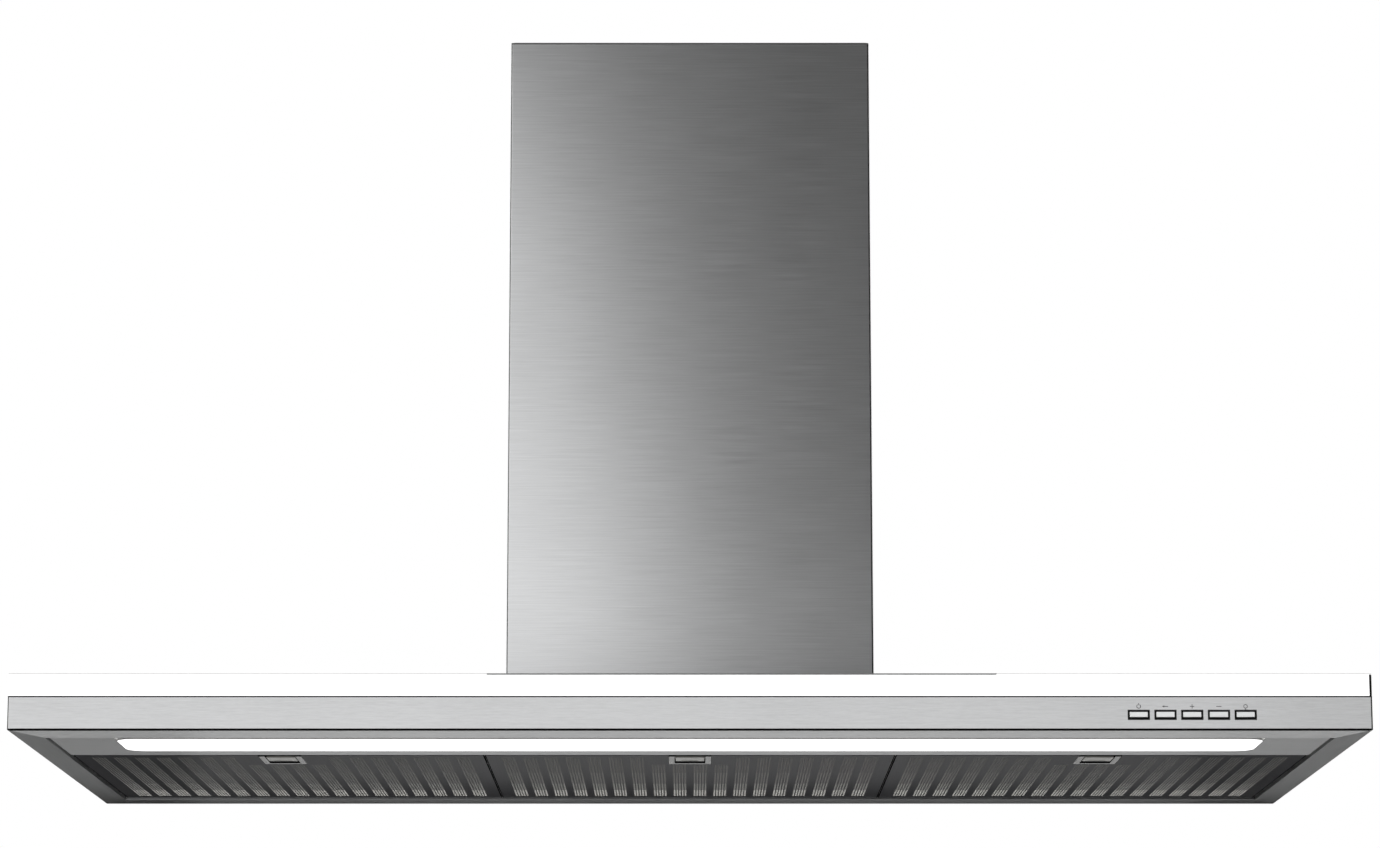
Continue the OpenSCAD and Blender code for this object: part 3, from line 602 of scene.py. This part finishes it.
# Painted shade and painted light: near the chimney the band's top line is painted grey and the top
# cover's edge is left bare steel, as the chimney's shadow; elsewhere the cover's edge is painted to
# glow with the band's light
TOP_LINE = 0.5 * MM
RIM_IN = 0.35 * MM
shade_from, shade_to = chimney_low.x - 9 * MM, chimney_high.x + 100 * MM
for node in ("glow_band", "top_cover"):
    for x in (shade_from, shade_to):
        paint_cut(fine[node], "x", x)
line_z = glow_high.z - TOP_LINE
paint_cut(
    fine["glow_band"],
    "z",
    line_z,
    pale_plastic,
    lambda c: c.z > line_z and c.y < glow_low.y + FACE_DEPTH and shade_from < c.x < shade_to,
)
cover_low, cover_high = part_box("top_cover")
paint_cut(
    fine["top_cover"],
    "y",
    cover_low.y + RIM_IN,
    rim_painted_glow,
    lambda c: (c.y < cover_low.y + RIM_IN and not shade_from < c.x < shade_to)
    or c.y > cover_high.y - RIM_IN
    or abs(c.x) > cover_high.x - RIM_IN,
)


def flat_marks(name, outlines, mat, body):
    """Thin marks on the front face: each outline is a list of (x, z) points round a solid."""
    work = bmesh.new()
    for outline in outlines:
        near = [work.verts.new((x, front_y - MARK, z)) for x, z in outline]
        far = [work.verts.new((x, front_y + MARK, z)) for x, z in outline]
        work.faces.new(near)
        work.faces.new(far[::-1])
        for i in range(len(outline)):
            j = (i + 1) % len(outline)
            work.faces.new((near[j], near[i], far[i], far[j]))
    bmesh.ops.recalc_face_normals(work, faces=work.faces)
    return piece_from(name, work, [mat], body)


def bar(x, z, half_x, half_z):
    corners = ((-1, -1), (1, -1), (1, 1), (-1, 1))
    return [(x + i * half_x, z + j * half_z) for i, j in corners]


def ring(x, z, radius, width, steps=16, start=0.0, sweep=2 * math.pi):
    """Quads round an arc."""
    quads = []
    for i in range(steps):
        a, b = (start + sweep * (i + s) / steps for s in (0, 1))
        corners = ((radius, a), (radius + width, a), (radius + width, b), (radius, b))
        quads.append([(x + r * math.cos(t), z + r * math.sin(t)) for r, t in corners])
    return quads


MARK = 0.06 * MM
RIM = 0.6 * MM
SIGN_RISE = 20.7 * MM
STROKE = 0.3 * MM
ARM = 1.9 * MM
POWER_R = 1.4 * MM
LAMP_R = 1.3 * MM
CAP_DROP = 2.4 * MM
CAP_HALF = 0.6 * MM
WINDOW_X = 9.15 * MM
WINDOW_Z = 3.9 * MM


def key_signs(x, z):
    """Power, back, more, less and lamp, as outlines round one point."""
    power = ring(x, z, POWER_R, 2 * STROKE, 12, math.radians(120), math.radians(300))
    power.append(bar(x, z + ARM, STROKE, ARM / 2))
    head = [(x - 1.6 * ARM, z), (x - ARM / 2, z - ARM / 2), (x - ARM / 2, z + ARM / 2)]
    back = [bar(x + ARM / 4, z, ARM, STROKE), head]
    more = [bar(x, z, ARM, STROKE)]
    for way in (1, -1):
        more.append(bar(x, z + way * (ARM + STROKE) / 2, STROKE, (ARM - STROKE) / 2))
    less = [bar(x, z, 1.2 * ARM, STROKE)]
    lamp = ring(x, z, LAMP_R, 2 * STROKE) + [bar(x, z - CAP_DROP, CAP_HALF, STROKE)]
    return power, back, more, less, lamp


# A black rim round each key's window, and a small sign above it
bezel_low, bezel_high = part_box("button_bezel")
window_z = (bezel_low.z + bezel_high.z) / 2
for number in range(1, 6):
    low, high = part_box(f"button_{number}")
    x = (low.x + high.x) / 2
    out_x, out_z = WINDOW_X + RIM / 2, WINDOW_Z + RIM / 2
    rims = [bar(x + way * out_x, window_z, RIM / 2, WINDOW_Z) for way in (-1, 1)]
    rims += [bar(x, window_z + way * out_z, WINDOW_X + RIM, RIM / 2) for way in (-1, 1)]
    flat_marks(f"rim_{number}", rims, trim_black_and_painted_shade, "hood")
    sign = key_signs(x, under_z + SIGN_RISE)[number - 1]
    flat_marks(f"sign_{number}", sign, symbol_grey, "hood")

# ---------------------------------------------------------------- camera

EYE_BACK = 3.706
EYE_DROP = 0.4356
TILT_DEG = 10.832
LENS_MM = 110.53

camera_data = bpy.data.cameras.new("camera")
camera_data.lens = LENS_MM
camera_data.sensor_width = 36.0
camera = bpy.data.objects.new("camera", camera_data)
camera.location = (0, front_y - EYE_BACK, under_z - EYE_DROP)
camera.rotation_euler = (math.radians(90 + TILT_DEG), 0, 0)
bpy.context.collection.objects.link(camera)
bpy.context.scene.camera = camera
bpy.context.scene.view_settings.view_transform = "Standard"

# ---------------------------------------------------------------- light and floor


def area_light(name, place, target, width, height, power, spread=180):
    data = bpy.data.lights.new(name, "AREA")
    data.shape = "RECTANGLE"
    data.size = width
    data.size_y = height
    data.energy = power
    data.spread = math.radians(spread)
    lamp = bpy.data.objects.new(name, data)
    lamp.location = place
    lamp.rotation_euler = (Vector(target) - Vector(place)).to_track_quat("-Z", "Y").to_euler()
    lamp.visible_camera = False
    bpy.context.collection.objects.link(lamp)
    return lamp


def light_only(lamp, objects):
    """The lamp lights only these objects."""
    group = bpy.data.collections.new(lamp.name + "_lights")
    for obj in objects:
        group.objects.link(obj)
    lamp.light_linking.receiver_collection = group


world = bpy.data.worlds.new("studio")
bpy.context.scene.world = world
world.use_nodes = True
sky = world.node_tree
sky.nodes.clear()
sky_out = sky.nodes.new("ShaderNodeOutputWorld")
place = sky.nodes.new("ShaderNodeTexCoord")
axes = sky.nodes.new("ShaderNodeSeparateXYZ")
sky.links.new(place.outputs["Generated"], axes.inputs["Vector"])


def sky_levels(axis, stops):
    """Brightness along one axis of direction, from stops of (sine of the angle, level)."""
    from_zero = sky.nodes.new("ShaderNodeMapRange")
    from_zero.inputs["From Min"].default_value = -1.0
    sky.links.new(axes.outputs[axis], from_zero.inputs["Value"])
    levels = sky.nodes.new("ShaderNodeValToRGB")
    ramp = levels.color_ramp
    while len(ramp.elements) < len(stops):
        ramp.elements.new(0.5)
    for element, (sine, level) in zip(ramp.elements, stops):
        element.position = (sine + 1) / 2
        element.color = (level, level, level, 1)
    sky.links.new(from_zero.outputs["Result"], levels.inputs["Fac"])
    return levels.outputs["Color"]


def sky_mix(first, second, fac=None, blend="MIX"):
    mix = sky.nodes.new("ShaderNodeMix")
    mix.data_type = "RGBA"
    mix.blend_type = blend
    mix.inputs["Factor"].default_value = 1.0
    if fac:
        sky.links.new(fac, mix.inputs["Factor"])
    sky.links.new(first, mix.inputs[6])
    sky.links.new(second, mix.inputs[7])
    return mix.outputs[2]


# In front: a dim room. Behind: a pale floor that is brighter to the right, under a dim upper half.
ahead = sky_levels(
    "Z", ((-1, 0.12), (-0.3, 0.14), (-0.03, 0.15), (0.1, 0.09), (0.3, 0.05), (0.6, 0.08), (1, 0.3))
)
behind_height = sky_levels("Z", ((-1, 0.3), (-0.3, 0.15), (0.0, 0.12), (0.3, 0.2), (1, 0.4)))
behind_side = sky_levels("X", ((-1, 0.35), (-0.25, 0.3), (0.0, 0.55), (0.2, 0.75), (1, 0.6)))
behind = sky_mix(behind_height, behind_side, blend="MULTIPLY")
back_half = sky_levels("Y", ((-0.1, 0.0), (0.15, 1.0)))
lit = sky.nodes.new("ShaderNodeBackground")
sky.links.new(sky_mix(ahead, behind, back_half), lit.inputs["Color"])
seen = sky.nodes.new("ShaderNodeBackground")
seen.inputs["Color"].default_value = (1, 1, 1, 1)
rays = sky.nodes.new("ShaderNodeLightPath")
either = sky.nodes.new("ShaderNodeMixShader")
sky.links.new(rays.outputs["Is Camera Ray"], either.inputs["Fac"])
sky.links.new(lit.outputs["Background"], either.inputs[1])
sky.links.new(seen.outputs["Background"], either.inputs[2])
sky.links.new(either.outputs["Shader"], sky_out.inputs["Surface"])

chimney_parts = [fine["lower_chimney"], fine["upper_chimney"]]
key = area_light("key", (-0.368, -0.734, -0.285), (0.3, -0.14, 0.133), 0.8, 1.231, 4.0)
light_only(key, chimney_parts)
key_low = area_light("key_low", (0.3, -0.75, -0.74), (0.1, -0.14, -0.6), 0.6, 0.25, 0.42)
light_only(key_low, chimney_parts)

front_parts = [fine["canopy_front"]] + [fine[f"button_{number}"] for number in range(1, 6)]
band_from, band_to = (-0.5, -2.6, under_z + 0.1), (-0.1, front_y, under_z)
band_light = area_light("band_light", band_from, band_to, 4.0, 1.0, 20.5)
light_only(band_light, front_parts)

hole_from, hole_to = (0.0, -0.62, under_z - 0.22), (0, 0.38, under_z - 0.08)
hole_light = area_light("hole_light", hole_from, hole_to, 2.4, 0.12, 0.45, spread=36)
light_only(hole_light, perforations)

under_names = ["canopy_front", "canopy_rear", "canopy_left", "canopy_right", "lamp_panel"]
for side in SIDES:
    under_names += [f"filter_face_{side}", f"latch_frame_{side}", f"latch_{side}"]
under_from, under_to = (0.1, 0.6, under_z - 0.11), (0.1, -0.4, under_z - 0.01)
under_light = area_light("under_light", under_from, under_to, 1.9, 0.12, 0.08, spread=40)
light_only(under_light, [fine[node] for node in under_names] + perforations)

area_light("overhead", (0, 0, 1.5), (0, 0, 0), 2.2, 1.6, 12.0)
area_light("fill_left", (-2.6, 1.0, 0.1), (0, 0, -0.4), 1.8, 1.6, 16.0)
area_light("fill_right", (2.6, 1.0, 0.1), (0, 0, -0.4), 1.8, 1.6, 16.0)
area_light("fill_back", (0, 2.6, 0.2), (0, 0, -0.4), 2.0, 1.4, 10.0)


def bare_sheet(name, points, faces, mat):
    """A flat mesh beside the object, which only lights or shades it."""
    mesh = bpy.data.meshes.new(name)
    mesh.from_pydata(points, [], faces)
    mesh.materials.append(mat)
    sheet = bpy.data.objects.new(name, mesh)
    bpy.context.collection.objects.link(sheet)
    return sheet


# A black card just behind the rear lip keeps the back of the underside dark.
# Each step is a place along x and how far the card reaches below the canopy there.
CARD_STEPS = (
    (-0.95, 0.12),
    (-0.53, 0.12),
    (-0.51, 0.03),
    (0.51, 0.03),
    (0.53, 0.08),
    (0.95, 0.08),
)
CARD_GAP = 30 * MM
CARD_TOP = 4 * MM
card_y = rear_y + CARD_GAP
card_points = []
for x, drop in CARD_STEPS:
    card_points += [(x, card_y, under_z - CARD_TOP), (x, card_y, under_z - drop)]
card_faces = [(i, i + 1, i + 3, i + 2) for i in range(0, 2 * len(CARD_STEPS) - 2, 2)]
card_black = plain("card_black", (0.01, 0.01, 0.01), 0.0, 1.0, gloss=0.0)
card = bare_sheet("card", card_points, card_faces, card_black)
card.visible_camera = False

FLOOR_Z = -2.3
FLOOR_R = 7.0
FLOOR_SIDES = 128
floor_turns = [2 * math.pi * i / FLOOR_SIDES for i in range(FLOOR_SIDES)]
floor_rim = [(FLOOR_R * math.cos(a), FLOOR_R * math.sin(a), FLOOR_Z) for a in floor_turns]
floor_pale = plain("floor_pale", (0.86, 0.86, 0.85), 0.0, 0.8)
floor = bare_sheet("floor", floor_rim, [tuple(range(FLOOR_SIDES))], floor_pale)
floor_light = area_light("floor_light", (0, 0, 2.5), (0, 0, FLOOR_Z), 9.0, 9.0, 400.0)
light_only(floor_light, [floor])
